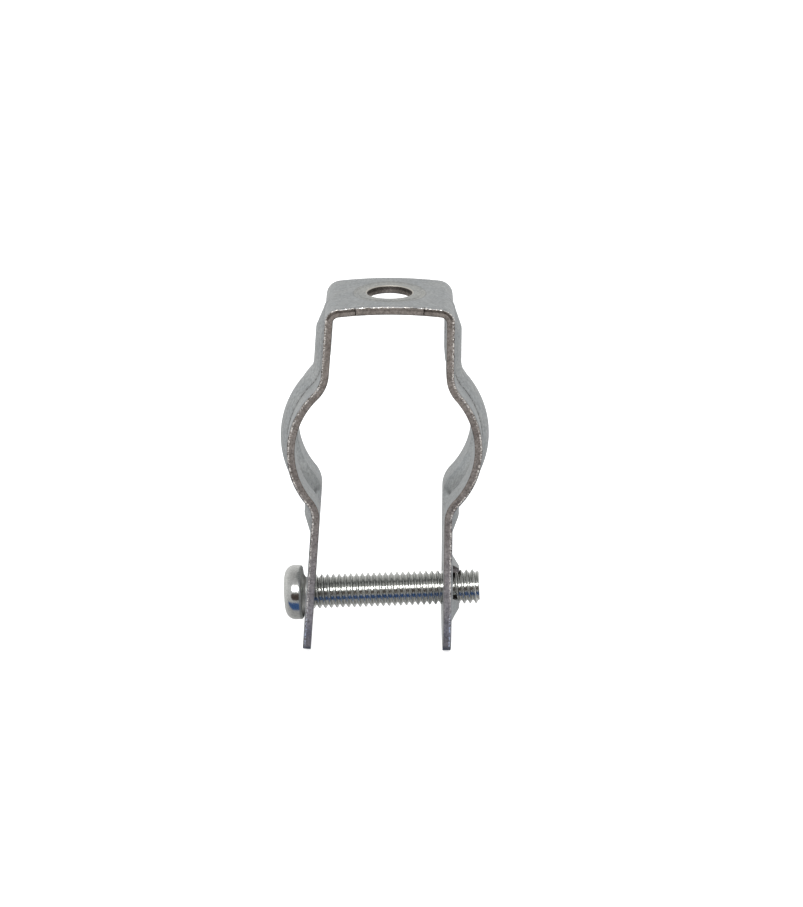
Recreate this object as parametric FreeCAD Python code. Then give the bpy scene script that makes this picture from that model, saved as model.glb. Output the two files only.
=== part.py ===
import FreeCAD, Part
import math
import os

# Conduit clamp: one strip of steel folded round a conduit, with a pressed bead down each side,
# and one machine screw that draws its two legs together.
# Millimetres and degrees. The origin is the centre of the top hole, on the top face.
# +Z is up, +X runs along the screw from head to tip, and +Y runs across the strip to the back.

# Strip
strip_width = 17.0
sheet = 1.4
end_radius = 7.5

# Top face, slightly crowned, with a hole inside a coined ring
crown_radius = 75.0
top_bend = 1.1
hole_radius = 3.7
ring_radius = 5.75
ring_width = 0.5
ring_depth = 0.08

# Each side, with its leg square to the top: reaches are from the hole's axis to the inner face,
# and to the centre of the arc that seats the conduit
conduit_radius = 13.35
seat_reach = 0.6
seat_depth = 24.7
upper_reach = 9.17
lower_reach = 9.1
upper_knee_radius = 6.5
lower_knee_radius = 5.5
leg_depth = 63.75

# The left side is sprung open about its top bend
left_swing = 4.3
right_swing = 0.0

# Beads pressed outwards, each with a groove inside, from a depth under the top bend to a tail
# below the lower knee
bead_width = 6.8
bead_height = 1.3
groove_width = 7.6
groove_depth = 1.2
bead_start = 2.2
bead_tail = 5.8
bead_run_out = 3.8

# Screw, set by its distance from the legs' ends
screw_to_end = 10.83
screw_radius = 2.95
screw_length = 30.47
screw_tilt = 2.65
screw_yaw = 1.25
tip_chamfer = 0.5
neck_radius = 2.6
neck_length = 0.9
flare_radius = 3.4
flare_length = 0.55
head_radius = 4.75
head_height = 3.1
head_round = 1.8
head_edge = 0.4
head_clearance = 0.08

# Cross recess in the head
recess_span = 5.2
recess_arm = 1.15
recess_depth = 2.1
recess_taper = 0.55

# Conical boss pressed out of the right leg round the screw, lanced away in front down to a root:
# the cut's back face stands before the screw's axis, and its lower face drops below it
boss_base_radius = 6.1
boss_tip_radius = 3.7
boss_height = 1.45
boss_mouth_radius = 4.3
thread_clearance = 0.08
lance_face = 0.6
lance_drop = 2.6
lance_root = 0.25

# Hole in the left leg round the screw
hole_clearance = 0.75

# Worked out from the sizes above
half_width = strip_width / 2
screw_depth = leg_depth - screw_to_end
across = FreeCAD.Vector(0, 1, 0)
along_screw = FreeCAD.Vector(1, 0, 0)
origin = FreeCAD.Vector(0, 0, 0)
crown_centre = FreeCAD.Vector(0, 0, -crown_radius)


def unit(vector):
    return FreeCAD.Vector(vector).normalize()


def line(start, end):
    return Part.LineSegment(start, end).toShape()


def arc(centre, start, end):
    radius = (start - centre).Length
    middle = centre + unit(unit(start - centre) + unit(end - centre)) * radius
    return Part.Arc(start, middle, end).toShape()


def rise_to(reach, centre, distance):
    """Height above a centre at which a point with this reach lies at a distance from it."""
    return math.sqrt(distance ** 2 - (reach - centre) ** 2)


class Side:
    """One half of the strip: top bend, upper leg, knee, seat, knee and lower leg.

    Its points are set out square to the top, then swung outwards about the top bend.
    """

    def __init__(self, sign, swing):
        self.sign = sign
        self.turn = FreeCAD.Rotation(across, -sign * swing)
        bend_reach = upper_reach - top_bend
        bend_rise = rise_to(bend_reach, 0, crown_radius - sheet - top_bend)
        self.bend = FreeCAD.Vector(sign * bend_reach, 0, bend_rise - crown_radius)
        self.outward = self.turn.multVec(FreeCAD.Vector(sign, 0, 0))
        self.down = self.turn.multVec(FreeCAD.Vector(0, 0, -1))
        upper_knee_reach = upper_reach + upper_knee_radius
        lower_knee_reach = lower_reach + lower_knee_radius
        upper_rise = rise_to(upper_knee_reach, seat_reach, conduit_radius + upper_knee_radius)
        lower_rise = rise_to(lower_knee_reach, seat_reach, conduit_radius + lower_knee_radius)
        self.seat = self.place(seat_reach, seat_depth)
        self.upper_knee = self.place(upper_knee_reach, seat_depth - upper_rise)
        self.lower_knee = self.place(lower_knee_reach, seat_depth + lower_rise)

    def place(self, reach, depth):
        """Swung place of a point given by its square reach and its depth below the top."""
        square = FreeCAD.Vector(self.sign * reach, 0, -depth)
        return self.bend + self.turn.multVec(square - self.bend)

    def crown_point(self, offset):
        return crown_centre + unit(self.bend - crown_centre) * (crown_radius - sheet + offset)

    def points(self, offset):
        """Where the runs of the side meet, on the surface at an offset from the inner face."""
        upper_knee = upper_knee_radius - offset
        lower_knee = lower_knee_radius - offset
        seat = conduit_radius + offset
        return {
            "bend_end": self.bend + self.outward * (top_bend + offset),
            "upper_foot": self.upper_knee - self.outward * upper_knee,
            "seat_top": self.seat + unit(self.upper_knee - self.seat) * seat,
            "seat_bottom": self.seat + unit(self.lower_knee - self.seat) * seat,
            "lower_foot": self.lower_knee - self.outward * lower_knee,
            "end": self.place(lower_reach + offset, leg_depth),
        }

    def edges(self, offset):
        at = self.points(offset)
        return [
            arc(self.bend, self.crown_point(offset), at["bend_end"]),
            line(at["bend_end"], at["upper_foot"]),
            arc(self.upper_knee, at["upper_foot"], at["seat_top"]),
            arc(self.seat, at["seat_top"], at["seat_bottom"]),
            arc(self.lower_knee, at["seat_bottom"], at["lower_foot"]),
            line(at["lower_foot"], at["end"]),
        ]


def folded_strip(left, right):
    """The plain strip, folded, with its leg ends rounded."""
    edges = []
    for offset in (0, sheet):
        edges += left.edges(offset) + right.edges(offset)
        edges.append(arc(crown_centre, left.crown_point(offset), right.crown_point(offset)))
    for side in (left, right):
        edges.append(line(side.points(0)["end"], side.points(sheet)["end"]))
    outline = Part.Wire(Part.sortEdges(edges)[0])
    outline.translate(across * -half_width)
    strip = Part.Face(outline).extrude(across * strip_width)
    ends = [side.points(sheet / 2)["end"] for side in (left, right)]
    corners = []
    for edge in strip.Edges:
        runs_across = abs(edge.tangentAt(edge.FirstParameter).y) > 0.5
        at_end = any((edge.CenterOfMass - end).cross(across).Length < sheet / 4 for end in ends)
        if at_end and not runs_across:
            corners.append(edge)
    return strip.makeFillet(end_radius, corners)


def bead_sweep(side, width, height, level):
    """A bead's section carried down the outer face, sinking inwards at both ends.

    The section is an arc over a straight base, at a level from the outer face.
    """
    def section(base, outward):
        middle = base + outward * level
        left_foot = middle - across * (width / 2)
        right_foot = middle + across * (width / 2)
        crest = Part.Arc(left_foot, middle + outward * height, right_foot).toShape()
        return Part.Face(Part.Wire([crest, line(right_foot, left_foot)]))

    def swept_round(centre, start, end, outward):
        turn = math.degrees((start - centre).getAngle(end - centre))
        return section(start, outward).revolve(centre, (start - centre).cross(end - centre), turn)

    at = side.points(sheet)
    sink = side.outward * -height
    top = side.place(upper_reach + sheet, bead_start + bead_run_out)
    bottom = at["lower_foot"] + side.down * (bead_tail - bead_run_out)
    seat_bottom_out = unit(at["seat_bottom"] - side.seat)
    seat_top_out = unit(at["seat_top"] - side.seat)
    runs = [
        section(top, side.outward).extrude(sink - side.down * bead_run_out),
        section(top, side.outward).extrude(at["upper_foot"] - top),
        swept_round(side.upper_knee, at["upper_foot"], at["seat_top"], side.outward),
        swept_round(side.seat, at["seat_top"], at["seat_bottom"], seat_top_out),
        swept_round(side.lower_knee, at["seat_bottom"], at["lower_foot"], seat_bottom_out),
        section(at["lower_foot"], side.outward).extrude(bottom - at["lower_foot"]),
        section(bottom, side.outward).extrude(sink + side.down * bead_run_out),
    ]
    return runs[0].multiFuse(runs[1:]).removeSplitter()


def press_bead(strip, side):
    """Raise a bead on the outer face and press its groove into the inner one."""
    raised = bead_sweep(side, bead_width, bead_height, 0)
    groove = bead_sweep(side, groove_width, groove_depth, -sheet)
    return strip.fuse(raised).cut(groove)


def coined_ring():
    """Shallow groove round the hole that follows the crown."""
    depth = 2 * sheet
    outer = Part.makeCylinder(ring_radius, depth, FreeCAD.Vector(0, 0, -sheet))
    inner = Part.makeCylinder(ring_radius - ring_width, depth, FreeCAD.Vector(0, 0, -sheet))
    below = Part.makeCylinder(crown_radius - ring_depth, strip_width,
                              crown_centre - across * half_width, across)
    return outer.cut(inner).cut(below)


class ScrewAxis:
    """The screw's axis: through the boss, with the head's lower rim against the left leg."""

    def __init__(self, left, right):
        tilt = math.radians(screw_tilt)
        yaw = math.radians(screw_yaw)
        level = math.cos(tilt)
        self.direction = FreeCAD.Vector(level * math.cos(yaw), -level * math.sin(yaw), math.sin(tilt))
        self.boss = right.place(lower_reach + sheet, screw_depth)
        left_face = left.place(lower_reach + sheet, screw_depth)
        facing = -self.direction.dot(left.outward)
        to_face = (left_face - self.boss).dot(left.outward)
        dip = (head_radius - head_edge) * math.sqrt(1 - facing ** 2)
        self.bearing = self.boss - self.direction * ((to_face + dip + head_clearance) / facing)
        self.left_hole = self.boss - self.direction * ((to_face - sheet / 2) / facing)


def press_boss(strip, right, axis):
    """Press a cone out of the right leg, open it for the screw and lance its front away."""
    outward = right.outward
    inside = axis.boss - outward * sheet
    reach = 2 * (sheet + boss_height)
    slope = (boss_base_radius - boss_tip_radius) / boss_height
    cone = Part.makeCone(boss_base_radius, boss_tip_radius, boss_height, axis.boss, outward)
    mouth = Part.makeCone(boss_mouth_radius, 0, boss_mouth_radius / slope, inside, outward)
    bore_start = axis.boss - axis.direction * reach
    bore = Part.makeCylinder(screw_radius + thread_clearance, 2 * reach, bore_start, axis.direction)
    corner = FreeCAD.Vector(lance_root, -lance_face - boss_base_radius, -lance_drop)
    lance = Part.makeBox(reach, boss_base_radius, lance_drop + boss_base_radius, corner)
    lance.Placement = FreeCAD.Placement(axis.boss, right.turn)
    return strip.fuse(cone).cut(mouth).cut(bore).cut(lance)


def clamp_strap(left, right, axis):
    strip = folded_strip(left, right)
    for side in (left, right):
        strip = press_bead(strip, side)
    strip = press_boss(strip, right, axis)
    through = 4 * sheet
    left_hole = Part.makeCylinder(screw_radius + hole_clearance, through,
                                  axis.left_hole - left.outward * (through / 2), left.outward)
    top_hole = Part.makeCylinder(hole_radius, through, FreeCAD.Vector(0, 0, -through / 2))
    return strip.cut(left_hole).cut(top_hole).cut(coined_ring()).removeSplitter()


def cross_recess():
    """Cross recess that narrows inwards from the head's end face, along the screw's own axis."""
    def cross(half_span, half_arm, place):
        arm = [(half_span, -half_arm), (half_span, half_arm), (half_arm, half_arm)]
        points = []
        for quarter in range(4):
            turn = FreeCAD.Rotation(along_screw, 90 * quarter)
            points += [turn.multVec(FreeCAD.Vector(place, y, z)) for y, z in arm]
        return Part.makePolygon(points + points[:1])

    mouth = cross(recess_span / 2, recess_arm / 2, -head_height)
    floor = cross(recess_span / 2 * recess_taper, recess_arm / 2 * recess_taper,
                  recess_depth - head_height)
    return Part.makeLoft([mouth, floor], True, True)


def clamp_screw(axis):
    """Turned about its own axis: bearing face at zero, head behind it and shank ahead of it."""
    def at(along, out):
        return FreeCAD.Vector(along, 0, out)

    round_start = at(-head_height, head_radius - head_round)
    round_centre = at(head_round - head_height, head_radius - head_round)
    round_end = at(head_round - head_height, head_radius)
    rim = at(-head_edge, head_radius)
    bearing_edge = at(0, head_radius - head_edge)
    flare_start = at(0, flare_radius)
    flare_end = at(flare_length, neck_radius)
    neck_end = at(neck_length, neck_radius)
    shank_start = at(neck_length + screw_radius - neck_radius, screw_radius)
    shank_end = at(screw_length - tip_chamfer, screw_radius)
    tip = at(screw_length, screw_radius - tip_chamfer)
    edges = [
        line(at(-head_height, 0), round_start),
        arc(round_centre, round_start, round_end),
        line(round_end, rim),
        line(rim, bearing_edge),
        line(bearing_edge, flare_start),
        line(flare_start, flare_end),
        line(flare_end, neck_end),
        line(neck_end, shank_start),
        line(shank_start, shank_end),
        line(shank_end, tip),
        line(tip, at(screw_length, 0)),
        line(at(screw_length, 0), at(-head_height, 0)),
    ]
    turned = Part.Face(Part.Wire(edges)).revolve(origin, along_screw, 360)
    screw = turned.cut(cross_recess())
    screw.Placement = FreeCAD.Placement(axis.bearing, FreeCAD.Rotation(along_screw, axis.direction))
    return screw


left_side = Side(-1, left_swing)
right_side = Side(1, right_swing)
screw_axis = ScrewAxis(left_side, right_side)

os.makedirs("parts", exist_ok=True)
clamp_strap(left_side, right_side, screw_axis).exportStep("parts/clamp_strap.step")
clamp_screw(screw_axis).exportStep("parts/clamp_screw.step")
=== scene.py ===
import cmath
import math

import bmesh
import bpy
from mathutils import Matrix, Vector


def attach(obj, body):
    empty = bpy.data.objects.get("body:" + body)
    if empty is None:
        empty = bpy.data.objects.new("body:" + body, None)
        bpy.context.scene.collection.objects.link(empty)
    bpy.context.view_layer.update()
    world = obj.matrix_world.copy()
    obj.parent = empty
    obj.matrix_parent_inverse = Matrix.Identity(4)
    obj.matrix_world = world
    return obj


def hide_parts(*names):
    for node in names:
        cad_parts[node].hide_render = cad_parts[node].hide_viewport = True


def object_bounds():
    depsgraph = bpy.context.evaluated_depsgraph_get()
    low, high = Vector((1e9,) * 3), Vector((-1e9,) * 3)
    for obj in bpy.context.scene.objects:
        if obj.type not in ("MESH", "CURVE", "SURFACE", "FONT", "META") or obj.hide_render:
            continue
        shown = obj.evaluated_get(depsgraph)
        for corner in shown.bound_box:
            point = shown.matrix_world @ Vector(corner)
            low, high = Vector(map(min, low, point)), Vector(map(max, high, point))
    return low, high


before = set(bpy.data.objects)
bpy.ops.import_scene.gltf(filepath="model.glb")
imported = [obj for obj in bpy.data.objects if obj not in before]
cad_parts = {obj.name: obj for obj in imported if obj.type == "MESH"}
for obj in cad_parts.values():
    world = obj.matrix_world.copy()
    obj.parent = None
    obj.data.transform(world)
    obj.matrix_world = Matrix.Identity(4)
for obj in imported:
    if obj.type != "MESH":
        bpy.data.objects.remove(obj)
cad_low, cad_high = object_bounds()

# Sizes of the clamp, as in the CAD model: millimetres and degrees.
STRIP_WIDTH = 17.0
SHEET = 1.4
END_RADIUS = 7.5
CROWN_RADIUS = 75.0
TOP_BEND = 1.1
HOLE_RADIUS = 3.7
RING_RADIUS = 5.75
RING_WIDTH = 0.5
RING_DEPTH = 0.08
CONDUIT_RADIUS = 13.35
SEAT_REACH = 0.6
SEAT_DEPTH = 24.7
UPPER_REACH = 9.17
LOWER_REACH = 9.1
UPPER_KNEE_RADIUS = 6.5
LOWER_KNEE_RADIUS = 5.5
LEG_DEPTH = 63.75
LEFT_SWING = 4.3
RIGHT_SWING = 0.0
BEAD_WIDTH = 6.8
BEAD_HEIGHT = 1.3
GROOVE_WIDTH = 7.6
GROOVE_DEPTH = 1.2
BEAD_START = 2.2
BEAD_TAIL = 5.8
BEAD_RUN_OUT = 3.8
SCREW_TO_END = 10.83
SCREW_RADIUS = 2.95
SCREW_LENGTH = 30.47
SCREW_TILT = 2.65
SCREW_YAW = 1.25
TIP_CHAMFER = 0.5
NECK_RADIUS = 2.6
NECK_LENGTH = 0.9
FLARE_RADIUS = 3.4
FLARE_LENGTH = 0.55
HEAD_RADIUS = 4.75
HEAD_HEIGHT = 3.1
HEAD_ROUND = 1.8
HEAD_EDGE = 0.4
HEAD_CLEARANCE = 0.08
RECESS_SPAN = 5.2
RECESS_ARM = 1.15
RECESS_DEPTH = 2.1
RECESS_TAPER = 0.55
BOSS_BASE_RADIUS = 6.1
BOSS_TIP_RADIUS = 3.7
BOSS_HEIGHT = 1.45
BOSS_MOUTH_RADIUS = 4.3
THREAD_CLEARANCE = 0.08
LANCE_FACE = 0.6
LANCE_ROOT = 0.25
HOLE_CLEARANCE = 0.75

# Detail that the CAD model leaves to this script.
OUTER_EDGE = 0.26
INNER_EDGE = 0.12
CREASE = 0.03
CREASE_FLOOR = -0.4
CREASE_WIDTH = 0.13
# Painted shade on the far slope of the groove, in a spot at its lower end and on the far rim, and
# painted light over the groove: places down the leg and across it, and strengths.
SHADE_START = 28.5
SHADE_FULL = 31.5
SHADE_END = 36.8
SHADE_ACROSS = 0.8
SHADE_WIDTH = 1.4
SHADE_GROWTH = 0.7
SHADE_LINE = 0.3
SHADE_SPOT_DEPTH = 35.9
SHADE_SPOT_LENGTH = 0.55
SHADE_SPOT_ACROSS = 1.6
SHADE_SPOT_WIDTH = 1.4
FADE_SHADE = 0.6
RIM_SHADE = 0.4
SHADE_SPOT_STRENGTH = 0.6
FAR_RIM = 1.0
PAINTED_LIGHT_RISE = 1.0
PAINTED_LIGHT_PAST = 0.3
PAINTED_LIGHT_SHORT = 0.1
# Limits of the boss's cut, which is narrower than in the CAD model.
CUT_FACE_ROOT = 2.8
CUT_DROP_ROOT = -0.5
CUT_DROP_TIP = 1.0
# Rims, nicks and the thread.
HEAD_SHOULDER = 0.6
BOSS_FOOT = 0.3
END_INSET = 0.1
NICK_REACH = 5.55
NICK_WIDTH = 0.12
NICK_DEPTH = 0.14
THREAD_PITCH = 1.0
THREAD_ROOT = 2.4
FLANK_START = 0.16
FLANK_WIDTH = 0.70
FLANK_SOFTNESS = 0.35
THREAD_RUN_IN = 0.8
THREAD_RAMP = 0.9
TIP_RINGS = (1.9, 1.1, 0.4)
TOP_HOLE_ROUND = 0.22
HOLE_ROUND = 0.15
RECESS_RIM = 0.05
RECESS_LIP = 0.06

# Steps of the meshes: how many a run has, and how wide the patch round each hole reaches.
BEND_STEPS = 10
UPPER_STEPS = 24
KNEE_STEPS = 16
SEAT_STEPS = 46
LOWER_STEPS = 42
END_STEPS = 26
CROWN_STEPS = 40
TOP_PATCH = 6.9
HOLE_PATCH = 6.3
BOSS_PATCH = 7.7
BLEND_SHARES = (0.35, 0.7)
FINE_COLUMNS = [0.25 * step for step in range(16)]
WIDE_COLUMNS = [4.0 + 0.54 * step for step in range(8)]
CREASE_COLUMNS = (-0.16, -0.08, -0.03, 0.0, 0.03, 0.08, 0.16)
CREASE_CLEAR = 0.24
RIM_ANGLES = (30, 60, 90)
WALL_SHARES = (0.25, 0.5, 0.75)
WELD = 0.0005
SCREW_SEGMENTS = 72
PITCH_STEPS = 18
STRAP_SHARP = 40.0
SCREW_SHARP = 45.0

# The photograph's view: degrees, metres and pixels.
VIEW_ELEVATION = 21.24
VIEW_DISTANCE = 0.3503
VIEW_TARGET = (0, 0, -0.031)
IMAGE_WIDTH, IMAGE_HEIGHT = 803, 907
PIXELS_PER_METRE = 5925
TARGET_COLUMN, TARGET_ROW = 389.69, 468.5

# The key lamp: place, width and height in metres, and power in watts.
KEY_PLACE = (-0.1, -0.63, 0.44)
KEY_SIZE = (0.46, 0.26)
KEY_POWER = 4.4
KEY_TARGET = (0, 0, -0.03)

MM = 0.001
HALF_WIDTH = STRIP_WIDTH / 2
CROWN_CENTRE = complex(0, -CROWN_RADIUS)
SCREW_DEPTH = LEG_DEPTH - SCREW_TO_END


def knee_rise(reach, radius):
    """Height between the seat's centre and that of a knee whose leg has this reach."""
    return math.sqrt((CONDUIT_RADIUS + radius) ** 2 - (reach + radius - SEAT_REACH) ** 2)


UPPER_RISE = knee_rise(UPPER_REACH, UPPER_KNEE_RADIUS)
LOWER_RISE = knee_rise(LOWER_REACH, LOWER_KNEE_RADIUS)
BEAD_END = SEAT_DEPTH + LOWER_RISE + BEAD_TAIL


def unit(number):
    return number / abs(number)


class Side:
    """One half of the folded strip. A place in the XZ plane is a complex number, x + zj."""

    def __init__(self, sign, swing):
        self.sign = sign
        self.turn = cmath.rect(1, math.radians(sign * swing))
        bend_reach = UPPER_REACH - TOP_BEND
        bend_rise = math.sqrt((CROWN_RADIUS - SHEET - TOP_BEND) ** 2 - bend_reach ** 2)
        self.bend = complex(sign * bend_reach, bend_rise - CROWN_RADIUS)
        self.outward = sign * self.turn
        self.seat = self.place(SEAT_REACH, SEAT_DEPTH)
        self.upper_knee = self.place(UPPER_REACH + UPPER_KNEE_RADIUS, SEAT_DEPTH - UPPER_RISE)
        self.lower_knee = self.place(LOWER_REACH + LOWER_KNEE_RADIUS, SEAT_DEPTH + LOWER_RISE)

    def place(self, reach, depth):
        square = complex(self.sign * reach, -depth)
        return self.bend + self.turn * (square - self.bend)

    def depth(self, place):
        return -(self.bend + (place - self.bend) / self.turn).imag

    def leg_place(self, depth, out):
        """A place on the straight lower leg, out from its inner face."""
        return self.place(LOWER_REACH + out, depth)


class Arch:
    """Section of a bead or of its groove: an arc over a straight base."""

    def __init__(self, width, height):
        self.half_width = width / 2
        self.height = height
        self.radius = (self.half_width ** 2 + height ** 2) / (2 * height)

    def rise(self, across, sunk):
        """Height of the arc at a place across it, softened where it meets the flat."""
        if abs(across) >= self.radius:
            return 0.0
        rise = math.sqrt(self.radius ** 2 - across ** 2) - self.radius + self.height * (1 - sunk)
        return (rise + math.hypot(rise, CREASE)) / 2 if rise > CREASE_FLOOR else 0.0

    def foot(self, sunk):
        """Place across the arc where it meets the flat, or zero where it is sunk below it."""
        lift = self.radius - self.height * (1 - sunk)
        return math.sqrt(self.radius ** 2 - lift ** 2) if lift < self.radius else 0.0


BEAD = Arch(BEAD_WIDTH, BEAD_HEIGHT)
GROOVE = Arch(GROOVE_WIDTH, GROOVE_DEPTH)


class Station:
    """A cross-section of the strip: a place on its inner face and the way to its outer one."""

    def __init__(self, place, outward, mark, depth=0.0, half_width=HALF_WIDTH, nick=0.0,
                 inset=0.0):
        self.place = place
        self.outward = outward
        self.mark = mark
        self.half_width = half_width
        self.nick = nick
        self.inset = inset
        run_in = (BEAD_START + BEAD_RUN_OUT - depth) / BEAD_RUN_OUT
        run_out = (depth - BEAD_END + BEAD_RUN_OUT) / BEAD_RUN_OUT
        self.sunk = min(max(run_in, run_out, 0.0), 2.0)


def bump_at(value, middle, reach):
    """A smooth hump over a middle value, 1 at its top."""
    return math.exp(-((value - middle) / reach) ** 2)


def ease(value, start, end):
    """Share of the way from start to end, from 0 to 1."""
    return min(1.0, max(0.0, (value - start) / (end - start)))


NO_PAINTED_LIGHT = (0.0, 0.0, 0.0)


def outer_painted_shade(across, station):
    """Painted crease shade: dark specks where the bead meets the flat."""
    foot = BEAD.foot(station.sunk)
    return (bump_at(abs(across), foot, CREASE_WIDTH), 0.0, 0.0) if foot else NO_PAINTED_LIGHT


def inner_painted_light(across, station):
    """Painted shade down the groove, in a spot at its lower end and on the far rim, and painted
    light over the groove.
    """
    foot = GROOVE.foot(station.sunk)
    if not foot:
        return NO_PAINTED_LIGHT
    low = ease(station.mark, SHADE_START, SHADE_FULL) * ease(station.mark, SHADE_END, SHADE_SPOT_DEPTH)
    line = bump_at(across, SHADE_ACROSS - SHADE_LINE, SHADE_LINE)
    width = SHADE_WIDTH + SHADE_GROWTH * max(0.0, station.mark - SHADE_FULL)
    fade = FADE_SHADE * bump_at(across, SHADE_ACROSS, width)
    rim = RIM_SHADE * ease(across, HALF_WIDTH - FAR_RIM, HALF_WIDTH - INNER_EDGE)
    # A spot of painted shade at the groove's lower end.
    shade_spot = SHADE_SPOT_STRENGTH * bump_at(station.mark, SHADE_SPOT_DEPTH, SHADE_SPOT_LENGTH)
    shade_spot *= bump_at(across, SHADE_SPOT_ACROSS, SHADE_SPOT_WIDTH)
    light = ease(across, -foot, PAINTED_LIGHT_RISE - foot)
    light *= ease(across, foot + PAINTED_LIGHT_PAST, foot - PAINTED_LIGHT_SHORT)
    return 0.0, min(1.0, low * max(line, fade, rim) + shade_spot), light


def arc_places(centre, start, end, radius, count, facing):
    """Stations round an arc of the inner face, from one direction to another."""
    swing = cmath.phase(end / start)
    for step in range(1, count + 1):
        direction = unit(start) * cmath.rect(1, swing * step / count)
        yield centre + direction * radius, direction * facing


def side_stations(side):
    """Stations from the top bend down to the leg's end."""
    from_top = side.bend - CROWN_CENTRE
    places = list(arc_places(side.bend, from_top, side.outward, TOP_BEND, BEND_STEPS, 1))
    upper_start = places[-1][0]
    upper_foot = side.upper_knee - side.outward * UPPER_KNEE_RADIUS
    for step in range(1, UPPER_STEPS + 1):
        place = upper_start + (upper_foot - upper_start) * step / UPPER_STEPS
        places.append((place, side.outward))
    to_upper = side.upper_knee - side.seat
    to_lower = side.lower_knee - side.seat
    places += arc_places(side.upper_knee, -side.outward, -to_upper, UPPER_KNEE_RADIUS,
                         KNEE_STEPS, -1)
    places += arc_places(side.seat, to_upper, to_lower, CONDUIT_RADIUS, SEAT_STEPS, 1)
    places += arc_places(side.lower_knee, -to_lower, -side.outward, LOWER_KNEE_RADIUS,
                         KNEE_STEPS, -1)
    stations = [Station(place, out, side.depth(place), side.depth(place)) for place, out in places]
    lower_foot = side.depth(places[-1][0])
    straight_end = LEG_DEPTH - END_RADIUS
    for step in range(1, LOWER_STEPS + 1):
        depth = lower_foot + (straight_end - lower_foot) * step / LOWER_STEPS
        stations.append(Station(side.leg_place(depth, 0), side.outward, depth, depth))
    for step in range(1, END_STEPS + 1):
        angle = math.radians(90 * (1 - step / END_STEPS))
        depth = LEG_DEPTH - END_RADIUS * (1 - math.cos(angle))
        width = HALF_WIDTH - END_RADIUS * (1 - math.sin(angle))
        stations.append(Station(side.leg_place(depth, 0), side.outward, depth, depth, width))
    tip = side.leg_place(LEG_DEPTH, 0)
    stations.append(Station(tip, side.outward, LEG_DEPTH, LEG_DEPTH, HALF_WIDTH - END_RADIUS,
                            inset=END_INSET))
    return stations


def crown_place(across, out):
    angle = across / CROWN_RADIUS
    return CROWN_CENTRE + cmath.rect(CROWN_RADIUS - SHEET + out, math.pi / 2 - angle)


def crown_stations(left, right):
    """Stations across the top, with a narrow nick on each side of the middle."""
    ends = []
    for side in (left, right):
        direction = side.bend - CROWN_CENTRE
        ends.append(CROWN_RADIUS * (math.pi / 2 - cmath.phase(direction)))
    reach = ends[1] - ends[0]
    marks = [(ends[0] + reach * step / CROWN_STEPS, 0.0) for step in range(CROWN_STEPS + 1)]
    for nick in (-NICK_REACH, NICK_REACH):
        marks = [mark for mark in marks if abs(mark[0] - nick) > 2 * NICK_WIDTH]
        marks += [(nick - NICK_WIDTH, 0.0), (nick, NICK_DEPTH), (nick + NICK_WIDTH, 0.0)]
    stations = []
    for mark, nick in sorted(marks):
        place = crown_place(mark, 0)
        stations.append(Station(place, unit(crown_place(mark, 1) - place), mark, nick=nick))
    return stations


class Skin:
    """Points and faces of one mesh, in millimetres, with strip coordinates and marks of painted
    light and shade.
    """

    def __init__(self):
        self.points = []
        self.strip = []
        self.marks = []
        self.faces = []
        self.kinds = []

    def add(self, point, strip, marks=NO_PAINTED_LIGHT):
        self.points.append(point)
        self.strip.append(strip)
        self.marks.append(marks)
        return len(self.points) - 1

    def face(self, corners, kind=0):
        distinct = list(dict.fromkeys(corners))
        if len(distinct) > 2:
            self.faces.append(distinct)
            self.kinds.append(kind)

    def bridge(self, one, other, kind=0, closed=False, walls=None):
        """Faces between two rows of points, with the kinds of some of them set apart."""
        last = len(one) if closed else len(one) - 1
        for k in range(last):
            n = (k + 1) % len(one)
            self.face((one[k], one[n], other[n], other[k]), walls.get(k, kind) if walls else kind)

    def build(self, name, materials, sharp_angle):
        mesh = bpy.data.meshes.new(name)
        mesh.from_pydata([Vector(p) * MM for p in self.points], [], self.faces)
        for material in materials:
            mesh.materials.append(material)
        mesh.polygons.foreach_set("material_index", self.kinds)
        strip = mesh.attributes.new("strip", "FLOAT_VECTOR", "POINT")
        strip.data.foreach_set("vector", [value * MM for row in self.strip for value in row])
        # The marks attribute carries painted shade in X and Y and painted light in Z.
        marks = mesh.attributes.new("marks", "FLOAT_VECTOR", "POINT")
        marks.data.foreach_set("vector", [value for row in self.marks for value in row])
        shape = bmesh.new()
        shape.from_mesh(mesh)
        bmesh.ops.remove_doubles(shape, verts=shape.verts, dist=WELD * MM)
        bmesh.ops.dissolve_degenerate(shape, edges=shape.edges, dist=WELD * MM)
        bmesh.ops.recalc_face_normals(shape, faces=shape.faces)
        for face in shape.faces:
            face.smooth = True
        limit = math.radians(sharp_angle)
        for edge in shape.edges:
            edge.smooth = len(edge.link_faces) == 2 and edge.calc_face_angle() < limit
        shape.to_mesh(mesh)
        shape.free()
        return add_object(name, mesh)


PLATE, EDGE, BREAK = 0, 1, 2


def half_columns():
    """Places across one half of the strip, close together at the feet of bead and groove."""
    columns = FINE_COLUMNS + WIDE_COLUMNS
    for crease in (GROOVE.half_width, BEAD.half_width):
        columns = [column for column in columns if abs(column - crease) > CREASE_CLEAR]
        columns += [crease + offset for offset in CREASE_COLUMNS]
    return sorted(columns)


def quarter_round(radius, angle):
    """How far a rounded rim has drawn in from its side and from its face, at an angle."""
    turn = math.radians(angle)
    return radius * (1 - math.sin(turn)), radius * (1 - math.cos(turn))


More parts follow.
